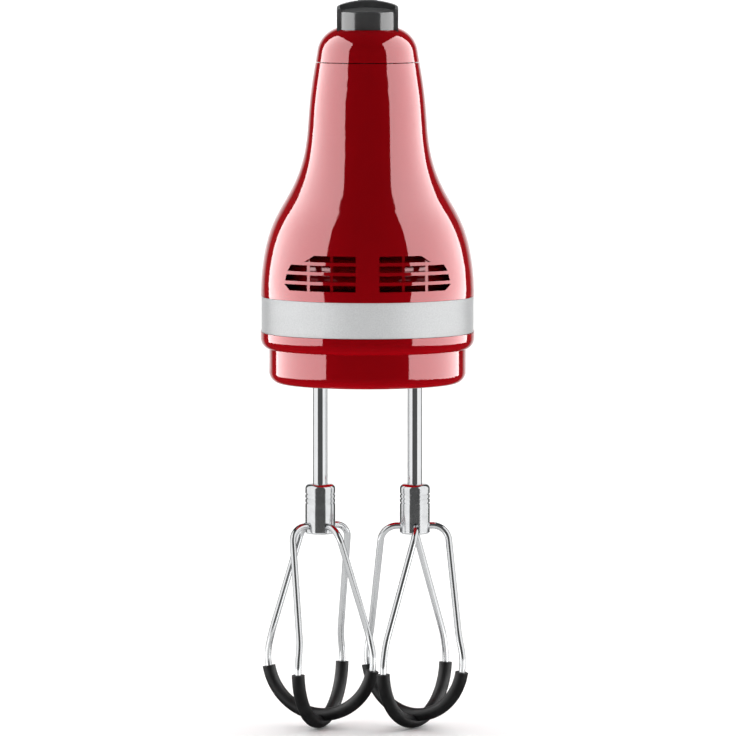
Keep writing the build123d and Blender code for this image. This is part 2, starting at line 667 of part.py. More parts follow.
# the worm is cut on the motor's shaft, its lobes level with the wheels at mid length
worm_start = Plane(origin=(0, WORM_LOW_Y, DRIVE_Z), x_dir=(1, 0, 0), z_dir=(0, 1, 0))
with BuildPart() as motor_shaft:
    section = worm_section().face()
    worm = Solid.extrude_linear_with_rotation(section, (0, 0, 0), (0, 0, WORM_LENGTH), worm_turn)
    add(worm_start.location * Rot(0, 0, -90 - worm_turn / 2) * worm)
    with BuildSketch(Plane.XZ.offset(-SHAFT_FRONT_Y)):
        with Locations((0, DRIVE_Z)):
            Circle(MOTOR_SHAFT_R)
    extrude(amount=SHAFT_FRONT_Y - SHAFT_REAR_Y)
    chamfer(motor_shaft.edges().group_by(Axis.Y)[0] + motor_shaft.edges().group_by(Axis.Y)[-1], length=0.4)
keep(motor_shaft, "motor_shaft")

for side, sign in SIDES.items():
    x = sign * SHAFT_X
    with BuildPart() as spindle:
        with BuildSketch(Plane.XY.offset(SPINDLE_LOW_Z)):
            with Locations((x, SHAFT_Y)):
                Circle(SPINDLE_R)
        extrude(amount=SPINDLE_HIGH_Z - SPINDLE_LOW_Z)
        with BuildSketch(Plane.XY.offset(SPINDLE_COLLAR_Z[0])):
            with Locations((x, SHAFT_Y)):
                Circle(SPINDLE_COLLAR_R)
        extrude(amount=SPINDLE_COLLAR_Z[1] - SPINDLE_COLLAR_Z[0])
        # bore for the beater, with crossed slots for its driving fins
        with BuildSketch(Plane.XY.offset(SPINDLE_LOW_Z)):
            with Locations((x, SHAFT_Y)):
                Circle(SPINDLE_BORE_R)
        extrude(amount=60, mode=Mode.SUBTRACT)
        with BuildSketch(Plane.XY.offset(SPINDLE_LOW_Z)):
            with Locations((x, SHAFT_Y)):
                Rectangle(2 * FIN_SLOT_R, FIN_SLOT_WIDTH, rotation=LOW_LOOP_ANGLE[side])
                Rectangle(2 * FIN_SLOT_R, FIN_SLOT_WIDTH, rotation=LOW_LOOP_ANGLE[side] + 90)
        extrude(amount=FIN_Z[1] + 2 - SPINDLE_LOW_Z, mode=Mode.SUBTRACT)
    keep(spindle, f"{side}_spindle")

    # a tooth gap faces the worm at mid height
    toward_worm = 180 if sign > 0 else 0
    turn = toward_worm + 180 / GEAR_TEETH - gear_twist / 2
    with BuildPart() as worm_wheel:
        section = gear_section().face()
        teeth = Solid.extrude_linear_with_rotation(section, (0, 0, 0), (0, 0, GEAR_WIDTH), gear_twist)
        add(Pos(x, SHAFT_Y, DRIVE_Z - GEAR_WIDTH / 2) * Rot(0, 0, turn) * teeth)
        with BuildSketch(Plane.XY.offset(GEAR_HUB_Z[0])):
            with Locations((x, SHAFT_Y)):
                Circle(GEAR_HUB_R)
        extrude(amount=GEAR_HUB_Z[1] - GEAR_HUB_Z[0])
        with BuildSketch(Plane.XY.offset(GEAR_HUB_Z[0] - 1)):
            with Locations((x, SHAFT_Y)):
                Circle(SPINDLE_R + SNUG)
        extrude(amount=40, mode=Mode.SUBTRACT)
    keep(worm_wheel, f"{side}_worm_wheel")

# ---------------------------------------------------------------- motor
CORE_Y = (-12.0, 14.0)
MAGNET_Y = (-15.0, 17.0)
END_WINDING = 4.5
COMMUTATOR_Y = (20.4, 28.4)
BRUSH_Y = 24.4
END_CAP_Y = (30.0, 34.0)
FAN_Y = (38.6, 47.0)
FAN_R = 21.5
FAN_BLADES = 9


def ring_along_motor(low_y, high_y, outer_r, inner_r):
    """A ring round the motor's axis, as a part of its own."""
    with BuildPart() as ring:
        with BuildSketch(Plane.XZ.offset(-low_y)):
            with Locations((0, DRIVE_Z)):
                Circle(outer_r)
                Circle(inner_r, mode=Mode.SUBTRACT)
        extrude(amount=low_y - high_y)
    return ring


motor_yoke = ring_along_motor(*MOTOR_Y, MOTOR_R, MOTOR_BORE_R)
keep(motor_yoke, "motor_yoke")

with BuildPart() as motor_magnets:
    add(ring_along_motor(*MAGNET_Y, MOTOR_BORE_R - SNUG, CORE_R + 0.6).part)
    with Locations((0, 1, DRIVE_Z)):
        Box(60, 60, 17, mode=Mode.SUBTRACT)
keep(motor_magnets, "motor_magnets")

with BuildPart() as armature_core:
    add(ring_along_motor(*CORE_Y, CORE_R, MOTOR_SHAFT_R + SNUG).part)
    # twelve slots for the windings
    with BuildSketch(Plane.XZ.offset(-CORE_Y[0])):
        with Locations((0, DRIVE_Z)):
            with PolarLocations(CORE_R - 4.4, 12):
                SlotOverall(7.2, 3.2)
            with PolarLocations(CORE_R, 12):
                Rectangle(3, 1.4)
    extrude(amount=CORE_Y[0] - CORE_Y[1], mode=Mode.SUBTRACT)
keep(armature_core, "armature_core")

with BuildPart() as armature_windings:
    # bars in the slots, and a rounded bundle at each end
    with BuildSketch(Plane.XZ.offset(-CORE_Y[0])):
        with Locations((0, DRIVE_Z)):
            with PolarLocations(CORE_R - 4.4, 12):
                SlotOverall(6.6, 2.6)
    extrude(amount=CORE_Y[0] - CORE_Y[1])
    for low_y in (CORE_Y[0] - END_WINDING, CORE_Y[1]):
        with BuildSketch(Plane.XZ.offset(-low_y)):
            with Locations((0, DRIVE_Z)):
                Circle(CORE_R - 1.2)
                Circle(MOTOR_SHAFT_R + 1.4, mode=Mode.SUBTRACT)
        extrude(amount=-END_WINDING)
    for group in (0, -1):
        fillet(armature_windings.edges().group_by(Axis.Y)[group].sort_by(Edge.length)[-1:], radius=2.6)
keep(armature_windings, "armature_windings")

with BuildPart() as commutator:
    add(ring_along_motor(*COMMUTATOR_Y, COMMUTATOR_R, MOTOR_SHAFT_R + SNUG).part)
    with BuildSketch(Plane.XZ.offset(-COMMUTATOR_Y[0] + 1)):
        with Locations((0, DRIVE_Z)):
            with PolarLocations(COMMUTATOR_R, 12):
                Rectangle(1.6, 0.5)
    extrude(amount=-20, mode=Mode.SUBTRACT)
keep(commutator, "commutator")

with BuildPart() as cooling_fan:
    add(ring_along_motor(*FAN_Y, 5.5, MOTOR_SHAFT_R + SNUG).part)
    add(ring_along_motor(FAN_Y[1] - 1.4, FAN_Y[1], FAN_R, 5).part)
    with BuildSketch(Plane.XZ.offset(-FAN_Y[0])):
        with Locations((0, DRIVE_Z)):
            with PolarLocations((FAN_R + 4) / 2, FAN_BLADES):
                Rectangle(FAN_R - 6, 1.3, rotation=24)
    extrude(amount=FAN_Y[0] - FAN_Y[1])
keep(cooling_fan, "cooling_fan")

with BuildPart() as motor_end_cap:
    add(ring_along_motor(*END_CAP_Y, MOTOR_R, 4).part)
    add(ring_along_motor(END_CAP_Y[0], 37.4, 8.0, 4).part)
    with BuildSketch(Plane.XZ.offset(-END_CAP_Y[0])):
        for sign in (-1, 1):
            with Locations((sign * (MOTOR_SCREW_X - 2.5), DRIVE_Z)):
                Rectangle(12, 8)
    extrude(amount=END_CAP_Y[0] - END_CAP_Y[1])
    # bush seat, air holes and holes for the long screws
    with BuildSketch(Plane.XZ.offset(-29)):
        with Locations((0, DRIVE_Z)):
            Circle(SHAFT_BUSH_R)
            with PolarLocations(16, 6, start_angle=30):
                Circle(3.6)
        with Locations((-MOTOR_SCREW_X, DRIVE_Z), (MOTOR_SCREW_X, DRIVE_Z)):
            Circle(SCREW_R + SNUG)
    extrude(amount=-12, mode=Mode.SUBTRACT)
keep(motor_end_cap, "motor_end_cap")

with BuildPart() as brush_holders:
    for sign in (-1, 1):
        with Locations((sign * 16, 25.3, DRIVE_Z)):
            Box(9.4, 9.4, 8.4)
        with Locations((sign * 15.4, BRUSH_Y, DRIVE_Z)):
            Box(10.4, 4.1, 5.1, mode=Mode.SUBTRACT)
keep(brush_holders, "brush_holders")

with BuildPart() as carbon_brushes:
    for sign in (-1, 1):
        with Locations((sign * (COMMUTATOR_R + RUNNING + 4.5), BRUSH_Y, DRIVE_Z)):
            Box(9, 4, 5)
keep(carbon_brushes, "carbon_brushes")

# ---------------------------------------------------------------- ejector
EJECT_FOOT_R = 2.6
EJECT_FOOT_GAP = 0.5
YOKE_Z = (216.0, 221.0)
ROD_COLLAR_Z = (282.5, 284.5)
SPRING_TURNS = 6
SPRING_R = 5.2
SPRING_WIRE_R = 0.45

with BuildPart() as eject_fork:
    # crosspiece above the two spindles, with a foot over each beater
    with BuildSketch(Plane.XY.offset(YOKE_Z[0])):
        with Locations((0, SHAFT_Y)):
            SlotOverall(2 * SHAFT_X + 8, 8)
        with Locations((0, (EJECT_Y + SHAFT_Y) / 2)):
            Rectangle(8, SHAFT_Y - EJECT_Y)
        with Locations((0, EJECT_Y)):
            Circle(5)
    extrude(amount=YOKE_Z[1] - YOKE_Z[0])
    with BuildSketch(Plane.XY.offset(SHAFT_TOP_Z + EJECT_FOOT_GAP)):
        with Locations(*SPINDLE_SPOTS):
            Circle(EJECT_FOOT_R)
    extrude(amount=YOKE_Z[0] - SHAFT_TOP_Z - EJECT_FOOT_GAP)
    # rod up to the button, with a collar that rests on the spring
    with BuildSketch(Plane.XY.offset(YOKE_Z[0])):
        with Locations((0, EJECT_Y)):
            Circle(EJECT_ROD_R)
    extrude(amount=BUTTON_FLANGE_Z[0] + 12 - YOKE_Z[0])
    with BuildSketch(Plane.XY.offset(ROD_COLLAR_Z[0])):
        with Locations((0, EJECT_Y)):
            Circle(6.4)
    extrude(amount=ROD_COLLAR_Z[1] - ROD_COLLAR_Z[0])
keep(eject_fork, "eject_fork")

spring_low = SHELF_Z[1] + SPRING_WIRE_R + 0.02
spring_height = ROD_COLLAR_Z[0] - SPRING_WIRE_R - 0.02 - spring_low
with BuildPart() as eject_spring:
    with BuildLine(Plane.XY.offset(spring_low)) as coil:
        Helix(pitch=spring_height / SPRING_TURNS, height=spring_height, radius=SPRING_R, center=(0, EJECT_Y))
    with BuildSketch(Plane(origin=coil.line @ 0, z_dir=coil.line % 0)):
        Circle(SPRING_WIRE_R)
    sweep(path=coil.line, is_frenet=True)
keep(eject_spring, "eject_spring")

# ---------------------------------------------------------------- switch, board and cord swivel
SWITCH_SIZE = (13.0, 38.0, 7.4)
SWITCH_Y = -13.0
BOARD_SIZE = (25.0, 78.0)
BOARD_Y = 8.0

with BuildPart() as control_board:
    with BuildSketch(Plane.XY.offset(BOARD_Z[0])):
        with Locations((0, BOARD_Y)):
            RectangleRounded(*BOARD_SIZE, 2)
        with Locations(*BOARD_SCREWS):
            Circle(SCREW_R + SNUG, mode=Mode.SUBTRACT)
    extrude(amount=BOARD_Z[1] - BOARD_Z[0])
keep(control_board, "control_board")

with BuildPart() as board_components:
    # choke, capacitor, heat sink and terminal block
    with Locations((-5, 33, BOARD_Z[1] + 4)):
        Box(9, 9, 8)
    with Locations((6.4, 28, BOARD_Z[1] + 3.5)):
        Box(5, 12, 7)
    with Locations((0, 16.5, BOARD_Z[1] + 3)):
        Box(20, 2, 6)
    with Locations((0, 44, BOARD_Z[1] + 3)):
        Box(9.6, 5, 6)
keep(board_components, "board_components")

with BuildPart() as speed_switch:
    with Locations((0, SWITCH_Y - 8, BOARD_Z[1] + SWITCH_SIZE[2] / 2)):
        Box(*SWITCH_SIZE)
    with Locations((0, SPEED_PLATE_Y, BOARD_Z[1] + SWITCH_SIZE[2])):
        Box(4.4, SPEED_TRAVEL + 6, 2, mode=Mode.SUBTRACT)
keep(speed_switch, "speed_switch")

with BuildPart() as cord_swivel:
    # neck through the seat, a domed head outside, and the cord's inlet right through
    with BuildSketch(Plane.XZ.offset(-79.6)):
        with Locations((0, SWIVEL_Z)):
            Circle(SWIVEL_NECK_R)
    extrude(amount=79.6 - 90)
    with BuildSketch(Plane.XZ.offset(-SWIVEL_SEAT_Y - 0.15)):
        with Locations((0, SWIVEL_Z)):
            Circle(SWIVEL_HEAD_R)
    extrude(amount=-7.2)
    fillet(cord_swivel.edges().group_by(Axis.Y)[-1], radius=2.6)
    with BuildSketch(Plane.XZ.offset(-70)):
        with Locations((0, SWIVEL_Z)):
            Circle(CORD_INLET_R)
    extrude(amount=-40, mode=Mode.SUBTRACT)
keep(cord_swivel, "cord_swivel")

with BuildPart() as swivel_clip:
    with BuildSketch(Plane.XZ.offset(-79.8)):
        with Locations((0, SWIVEL_Z)):
            Circle(SWIVEL_NECK_R + 1.6)
            Circle(SWIVEL_NECK_R + SNUG, mode=Mode.SUBTRACT)
    extrude(amount=79.8 - SWIVEL_BACK_Y + 0.15)
keep(swivel_clip, "swivel_clip")

# ---------------------------------------------------------------- screws
def screws_along_z(name, spots, head_z, length, head_r=2.8, head_height=2.0):
    """Pan-head screws pointing up from head_z, or down from it if length is negative."""
    up = length / abs(length)
    with BuildPart() as screws:
        with BuildSketch(Plane.XY.offset(head_z)):
            with Locations(*spots):
                Circle(SCREW_R)
        extrude(amount=length)
        with BuildSketch(Plane.XY.offset(head_z)):
            with Locations(*spots):
                Circle(head_r)
        extrude(amount=-head_height * up)
        # crossed recess for the driver
        with BuildSketch(Plane.XY.offset(head_z - head_height * up)):
            with Locations(*spots):
                Rectangle(3.2, 0.7)
                Rectangle(0.7, 3.2)
        extrude(amount=1.2 * up, mode=Mode.SUBTRACT)
    keep(screws, name)


screws_along_z("base_screws", BASE_SCREWS, SCREW_SEAT_Z, 20)
screws_along_z("frame_screws", FRAME_SCREWS, FRAME_FLOOR_Z[0], 16)
screws_along_z("board_screws", BOARD_SCREWS, BOARD_Z[1], -6, head_r=2.4, head_height=1.6)

with BuildPart() as motor_screws:
    stem = (FRAME_WALL_Y[0] + 0.5, END_CAP_Y[1], SCREW_R)
    head = (END_CAP_Y[1], END_CAP_Y[1] + 2, 2.8)
    for low_y, high_y, radius in (stem, head):
        with BuildSketch(Plane.XZ.offset(-low_y)):
            with Locations((-MOTOR_SCREW_X, DRIVE_Z), (MOTOR_SCREW_X, DRIVE_Z)):
                Circle(radius)
        extrude(amount=low_y - high_y)
keep(motor_screws, "motor_screws")

# ---------------------------------------------------------------- beaters
HUB_HOLE_R = WIRE_R + 0.02
WIRE_START = 2.6
WIRE_BEND = 7.0
LEG_JOINT = 0.1              # share of a leg's height that lies in its arc's plane, below the twist
LEG_BEND = 40.0
GROOVE_Z = (97.3, 99.2, 101.1)


def tangent_point(arc_z):
    """Where the leg of a loop, coming down from its corner, meets the loop's arc: radius and height."""
    rise = WIRE_EXIT_Z - arc_z
    reach = WIRE_CORNER * cos(radians(WIRE_TWIST))
    distance = sqrt(reach**2 + rise**2)
    angle = atan2(rise, reach) - acos(CAGE_R / distance)
    return CAGE_R * cos(angle), arc_z + CAGE_R * sin(angle)


def loop_plane(x, angle):
    """Upright plane through a beater's axis: its own x is outward at the given angle, and its own y is up."""
    outward = (cos(radians(angle)), sin(radians(angle)), 0)
    return Plane(origin=(x, SHAFT_Y, 0), x_dir=outward, z_dir=(outward[1], -outward[0], 0))


def round_axis(x, angle, radius, z):
    """The point at that angle, radius and height about a beater's axis."""
    return (x + radius * cos(radians(angle)), SHAFT_Y + radius * sin(radians(angle)), z)


def wire_loop(x, angle, twist, arc_z):
    """One loop of wire: out of the hub, down with a twist, round the bottom and back up to the hub."""
    r, z = tangent_point(arc_z)
    joint_r = r + (WIRE_CORNER * cos(radians(twist)) - r) * LEG_JOINT
    joint_z = z + (WIRE_EXIT_Z - z) * LEG_JOINT
    legs = []
    for side in (1, -1):
        start = round_axis(x, angle + twist, side * WIRE_START, WIRE_EXIT_Z)
        corner = round_axis(x, angle + twist, side * WIRE_CORNER, WIRE_EXIT_Z)
        joint = round_axis(x, angle, side * joint_r, joint_z)
        legs.append([start, corner, joint, round_axis(x, angle, side * r, z)])
    bottom = (x, SHAFT_Y, arc_z - CAGE_R)
    with BuildPart() as wire:
        with BuildLine() as path:
            FilletPolyline(*legs[0], radius=(WIRE_BEND, LEG_BEND))
            ThreePointArc(legs[0][-1], bottom, legs[1][-1])
            FilletPolyline(*reversed(legs[1]), radius=(LEG_BEND, WIRE_BEND))
        with BuildSketch(Plane(origin=path.line @ 0, z_dir=path.line % 0)):
            Circle(WIRE_R)
        sweep(path=path.line)
    return wire


def sleeve_arm(x, angle, arc_z, radius):
    """The arc of a loop below the sleeve's top, as a round bar of the given radius."""
    lift = SLEEVE_TOP_Z - arc_z
    reach = sqrt(CAGE_R**2 - lift**2)
    with BuildPart() as arm:
        with BuildLine(loop_plane(x, angle)) as path:
            ThreePointArc((reach, SLEEVE_TOP_Z), (0, arc_z - CAGE_R), (-reach, SLEEVE_TOP_Z))
        with BuildSketch(Plane(origin=path.line @ 0, z_dir=path.line % 0)):
            Circle(radius)
        sweep(path=path.line)
    return arm.part


for side, sign in SIDES.items():
    x = sign * SHAFT_X
    low_angle = LOW_LOOP_ANGLE[side]
    loops = {"lower": (low_angle, LOW_ARC_Z), "upper": (low_angle + 90, HIGH_ARC_Z)}
    twist = sign * WIRE_TWIST

    with BuildPart() as shaft:
        with BuildSketch(Plane.XY.offset(SHAFT_LOW_Z)):
            with Locations((x, SHAFT_Y)):
                Circle(SHAFT_R)
        extrude(amount=SHAFT_TOP_Z - SHAFT_LOW_Z)
        chamfer(shaft.edges().group_by(Axis.Z)[-1], length=0.8)
        # crossed fins that key into the spindle, and the groove of the snap ring
        with BuildSketch(Plane.XY.offset(FIN_Z[0])):
            with Locations((x, SHAFT_Y)):
                Rectangle(2 * FIN_R, FIN_WIDTH, rotation=low_angle)
                Rectangle(2 * FIN_R, FIN_WIDTH, rotation=low_angle + 90)
        extrude(amount=FIN_Z[1] - FIN_Z[0])
        with BuildSketch(Plane.XY.offset(199.0)):
            with Locations((x, SHAFT_Y)):
                Circle(SHAFT_R + 1)
                Circle(SHAFT_R - 0.5, mode=Mode.SUBTRACT)
        extrude(amount=1.2, mode=Mode.SUBTRACT)
    keep(shaft, f"{side}_beater_shaft")

    with BuildPart() as hub:
        with BuildSketch(Plane.XY.offset(HUB_LOW_Z)):
            with Locations((x, SHAFT_Y)):
                Circle(HUB_R)
        extrude(amount=HUB_HIGH_Z - HUB_LOW_Z)
        fillet(hub.edges().group_by(Axis.Z)[-1], radius=2.0)
        fillet(hub.edges().group_by(Axis.Z)[0], radius=0.8)
        for z in GROOVE_Z:
            with BuildSketch(Plane.XY.offset(z)):
                with Locations((x, SHAFT_Y)):
                    Circle(HUB_R + 1)
                    Circle(HUB_R - 0.4, mode=Mode.SUBTRACT)
            extrude(amount=0.6, mode=Mode.SUBTRACT)
        with BuildSketch(Plane.XY.offset(SHAFT_LOW_Z)):
            with Locations((x, SHAFT_Y)):
                Circle(SHAFT_R)
        extrude(amount=40, mode=Mode.SUBTRACT)
        # two crossed holes for the ends of the wires
        for angle, _ in loops.values():
            along = loop_plane(x, angle + twist).x_dir
            with BuildSketch(Plane(origin=(x, SHAFT_Y, WIRE_EXIT_Z), z_dir=along)):
                Circle(HUB_HOLE_R)
            extrude(amount=20, both=True, mode=Mode.SUBTRACT)
    keep(hub, f"{side}_beater_hub")

    for loop, (angle, arc_z) in loops.items():
        keep(wire_loop(x, angle, twist, arc_z), f"{side}_{loop}_wire")

    with BuildPart() as sleeve:
        for angle, arc_z in loops.values():
            add(sleeve_arm(x, angle, arc_z, SLEEVE_R))
        for angle, arc_z in loops.values():
            add(sleeve_arm(x, angle, arc_z, WIRE_R + 0.01), mode=Mode.SUBTRACT)
    keep(sleeve, f"{side}_beater_sleeve")
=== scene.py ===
"""Looks of the hand mixer: its finishes, the vents' baffle, the speed marks and the spring, with a white
table, studio lights and the camera. Metres and degrees, in the frame of the CAD model."""

import math

import bpy
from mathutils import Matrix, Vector


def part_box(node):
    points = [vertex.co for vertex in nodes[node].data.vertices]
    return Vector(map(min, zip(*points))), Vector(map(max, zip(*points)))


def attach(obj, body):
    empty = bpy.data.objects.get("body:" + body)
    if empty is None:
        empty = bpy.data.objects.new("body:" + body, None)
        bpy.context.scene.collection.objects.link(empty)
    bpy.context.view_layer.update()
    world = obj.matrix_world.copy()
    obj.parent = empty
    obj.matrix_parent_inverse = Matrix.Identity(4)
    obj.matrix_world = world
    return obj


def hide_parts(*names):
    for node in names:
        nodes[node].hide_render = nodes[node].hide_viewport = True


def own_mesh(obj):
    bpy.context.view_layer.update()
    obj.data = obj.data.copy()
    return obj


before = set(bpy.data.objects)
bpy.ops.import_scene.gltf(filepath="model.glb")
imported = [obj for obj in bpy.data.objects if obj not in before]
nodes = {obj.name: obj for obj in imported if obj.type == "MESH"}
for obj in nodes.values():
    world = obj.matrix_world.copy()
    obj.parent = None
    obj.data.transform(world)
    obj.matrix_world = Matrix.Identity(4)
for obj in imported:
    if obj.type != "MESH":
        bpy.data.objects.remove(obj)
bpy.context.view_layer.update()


def link(obj):
    bpy.context.scene.collection.objects.link(obj)
    return obj


# ---------------------------------------------------------------- camera
CAMERA_LENS = 274.8
SENSOR_WIDTH = 36.0
CAMERA_SPOT = (0.0002, -2.449, 0.3571)
CAMERA_PITCH = 4.802         # degrees below level
CAMERA_REACH = 60.0


def make_camera():
    data = bpy.data.cameras.new("camera")
    data.lens = CAMERA_LENS
    data.sensor_width = SENSOR_WIDTH
    data.clip_end = CAMERA_REACH
    camera = link(bpy.data.objects.new("camera", data))
    camera.location = CAMERA_SPOT
    camera.rotation_euler = (math.radians(90 - CAMERA_PITCH), 0, 0)
    bpy.context.scene.camera = camera


# ---------------------------------------------------------------- table and lights
FLOOR_REACH = 22.0
FLOOR_FRONT = -0.8
FLOOR_COLOR = (0.95, 0.95, 0.95)
FLOOR_ROUGHNESS = 0.9
SOFTBOX_DISTANCE = 1.0
SOFTBOX_BEARING = 86.5
SOFTBOX_HALF_ANGLE = 40.0
SOFTBOX_LOW = -0.25
SOFTBOX_HIGH = 1.6
SOFTBOX_GLOW = 7.3
METAL_BEARING = 77.0
METAL_HALF_ANGLE = 43.0
METAL_GLOW = 1.0
FRONT_HALF_ANGLE = 40.0
BAND_GLOW = 0.65
METAL_FRONT_GLOW = 0.05
TABLE_GLOW = 0.7
TABLE_GLOW_SIZE = (0.9, 0.9)
TABLE_GLOW_HEIGHT = 0.0004
# The surroundings change from front to back between two depths, each the Y of a direction of length 1.
GLOSS_DEPTHS = (0.86, 0.97)
GLOSS_GLOWS = (0.035, 1.0)
MATT_DEPTHS = (-0.6, 0.3)
MATT_GLOWS = (0.02, 2.1)
CAMERA_GLOW = 1.0
BRIGHT_METALS = ("chrome_shaft", "wire_steel", "hub_steel", "silver_trim")


def make_floor():
    """A large matt white table top that ends a little way in front of the mixer, and isn't seen in gloss."""
    mesh = bpy.data.meshes.new("floor")
    corners = [(-FLOOR_REACH, FLOOR_FRONT), (FLOOR_REACH, FLOOR_FRONT), (FLOOR_REACH, FLOOR_REACH)]
    corners.append((-FLOOR_REACH, FLOOR_REACH))
    mesh.from_pydata([(x, y, 0) for x, y in corners], [], [(0, 1, 2, 3)])
    floor = link(bpy.data.objects.new("floor", mesh))
    material = bpy.data.materials.new("studio_white")
    material.use_nodes = True
    shader = material.node_tree.nodes["Principled BSDF"]
    shader.inputs["Base Color"].default_value = (*FLOOR_COLOR, 1)
    shader.inputs["Roughness"].default_value = FLOOR_ROUGHNESS
    mesh.materials.append(material)
    floor.visible_glossy = False


def gloss_light(name, size, glow, group, link_state):
    """A rectangular light seen in the gloss only, of a group's pieces or of all the others."""
    data = bpy.data.lights.new(name, "AREA")
    data.shape = "RECTANGLE"
    data.size, data.size_y = size
    data.energy = glow * math.pi * size[0] * size[1]
    light = link(bpy.data.objects.new(name, data))
    light.visible_camera = False
    light.visible_diffuse = False
    light.light_linking.receiver_collection = group
    for entry in group.collection_objects:
        entry.light_linking.link_state = link_state
    return light


def panel(name, bearing, half_angle, glow, group, link_state):
    """A tall lit panel at that bearing from straight in front."""
    width = 2 * SOFTBOX_DISTANCE * math.tan(math.radians(half_angle))
    light = gloss_light(name, (width, SOFTBOX_HIGH - SOFTBOX_LOW), glow, group, link_state)
    turn = math.radians(bearing)
    out = Vector((math.sin(turn), -math.cos(turn), 0))
    light.location = out * SOFTBOX_DISTANCE + Vector((0, 0, (SOFTBOX_LOW + SOFTBOX_HIGH) / 2))
    light.rotation_euler = (-out).to_track_quat("-Z", "Z").to_euler()


def slot_group(name, slots):
    """The CAD nodes that carry those material slots, as a group for the lights."""
    group = bpy.data.collections.new(name)
    for obj in nodes.values():
        if obj.data.materials[0].name.split(".")[0] in slots:
            group.objects.link(obj)
    return group


def ramp_between(tree, value, source, target):
    """A value taken from one range to another, and held at its ends."""
    slope = tree.nodes.new("ShaderNodeMapRange")
    for socket, number in zip(("From Min", "From Max", "To Min", "To Max"), (*source, *target)):
        slope.inputs[socket].default_value = number
    tree.links.new(value, slope.inputs["Value"])
    return slope.outputs["Result"]


def pick(tree, choice, if_not, if_so):
    """Brightness if_so for the rays that choice names, and if_not for the others."""
    mix = tree.nodes.new("ShaderNodeMix")
    tree.links.new(choice, mix.inputs["Factor"])
    for socket, value in (("A", if_not), ("B", if_so)):
        if isinstance(value, float):
            mix.inputs[socket].default_value = value
        else:
            tree.links.new(value, mix.inputs[socket])
    return mix.outputs["Result"]


def make_lights():
    """White surroundings that are dark behind the camera, and strong softboxes beside the mixer for all but
    its bright metals, which have softer ones of their own."""
    for side, sign in (("left", -1), ("right", 1)):
        others = slot_group(side + "_softbox_skips", BRIGHT_METALS)
        panel(side + "_softbox", sign * SOFTBOX_BEARING, SOFTBOX_HALF_ANGLE, SOFTBOX_GLOW, others, "EXCLUDE")
        metals = slot_group(side + "_metal_panel_lights", BRIGHT_METALS)
        panel(side + "_metal_panel", sign * METAL_BEARING, METAL_HALF_ANGLE, METAL_GLOW, metals, "INCLUDE")
    band = slot_group("band_panel_lights", ("silver_trim",))
    panel("band_panel", 0, FRONT_HALF_ANGLE, BAND_GLOW, band, "INCLUDE")
    metals = slot_group("front_panel_lights", BRIGHT_METALS)
    panel("front_panel", 0, FRONT_HALF_ANGLE, METAL_FRONT_GLOW, metals, "INCLUDE")
    metals = slot_group("table_glow_lights", BRIGHT_METALS)
    table = gloss_light("table_glow", TABLE_GLOW_SIZE, TABLE_GLOW, metals, "INCLUDE")
    table.location = (0, 0, TABLE_GLOW_HEIGHT)
    table.rotation_euler = (math.pi, 0, 0)
    world = bpy.data.worlds.new("studio")
    bpy.context.scene.world = world
    world.use_nodes = True
    tree = world.node_tree
    sky = tree.nodes["Background"]
    sky.inputs["Color"].default_value = (1, 1, 1, 1)
    ray = tree.nodes.new("ShaderNodeLightPath")
    place = tree.nodes.new("ShaderNodeTexCoord")
    split = tree.nodes.new("ShaderNodeSeparateXYZ")
    tree.links.new(place.outputs["Generated"], split.inputs["Vector"])
    depth = split.outputs["Y"]
    in_gloss = ramp_between(tree, depth, GLOSS_DEPTHS, GLOSS_GLOWS)
    on_matt = ramp_between(tree, depth, MATT_DEPTHS, MATT_GLOWS)
    unseen = pick(tree, ray.outputs["Is Glossy Ray"], on_matt, in_gloss)
    tree.links.new(pick(tree, ray.outputs["Is Camera Ray"], unseen, CAMERA_GLOW), sky.inputs["Strength"])
    bpy.context.scene.view_settings.view_transform = "Standard"


# ---------------------------------------------------------------- finishes
def new_finish(slot, color, roughness, **values):
    """A finish named after its slot. The values are set on the shader's own sockets, with _ for a space."""
    material = bpy.data.materials.new(slot + "_finish")
    material.use_nodes = True
    shader = material.node_tree.nodes["Principled BSDF"]
    shader.inputs["Base Color"].default_value = (*color, 1)
    shader.inputs["Roughness"].default_value = roughness
    for key, value in values.items():
        shader.inputs[key.replace("_", " ")].default_value = value
    return material


def shader_of(material):
    return material.node_tree.nodes["Principled BSDF"]


def placed(tree, texture, size, stretch):
    """Gives a texture the object's own coordinates, so that its features are that size in metres."""
    place = tree.nodes.new("ShaderNodeTexCoord")
    mapping = tree.nodes.new("ShaderNodeMapping")
    mapping.inputs["Scale"].default_value = [1 / (size * share) for share in stretch]
    tree.links.new(place.outputs["Object"], mapping.inputs["Vector"])
    tree.links.new(mapping.outputs["Vector"], texture.inputs["Vector"])
    texture.inputs["Scale"].default_value = 1.0


def noise(material, size, detail=2.0, stretch=(1, 1, 1)):
    tree = material.node_tree
    texture = tree.nodes.new("ShaderNodeTexNoise")
    texture.inputs["Detail"].default_value = detail
    placed(tree, texture, size, stretch)
    return texture.outputs["Fac"]


def cells(material, size, feature="F1", stretch=(1, 1, 1)):
    tree = material.node_tree
    texture = tree.nodes.new("ShaderNodeTexVoronoi")
    texture.feature = feature
    placed(tree, texture, size, stretch)
    return texture.outputs["Distance"]


WAVES_PER_UNIT = 20 / (2 * math.pi)


def bands(material, pitch, direction="Z", kind="BANDS", bend=0.0):
    """Even stripes or rings of that pitch in metres."""
    tree = material.node_tree
    texture = tree.nodes.new("ShaderNodeTexWave")
    texture.wave_type = kind
    if kind == "BANDS":
        texture.bands_direction = direction
    else:
        texture.rings_direction = direction
    texture.inputs["Distortion"].default_value = bend
    placed(tree, texture, pitch * WAVES_PER_UNIT, (1, 1, 1))
    return texture.outputs["Fac"]


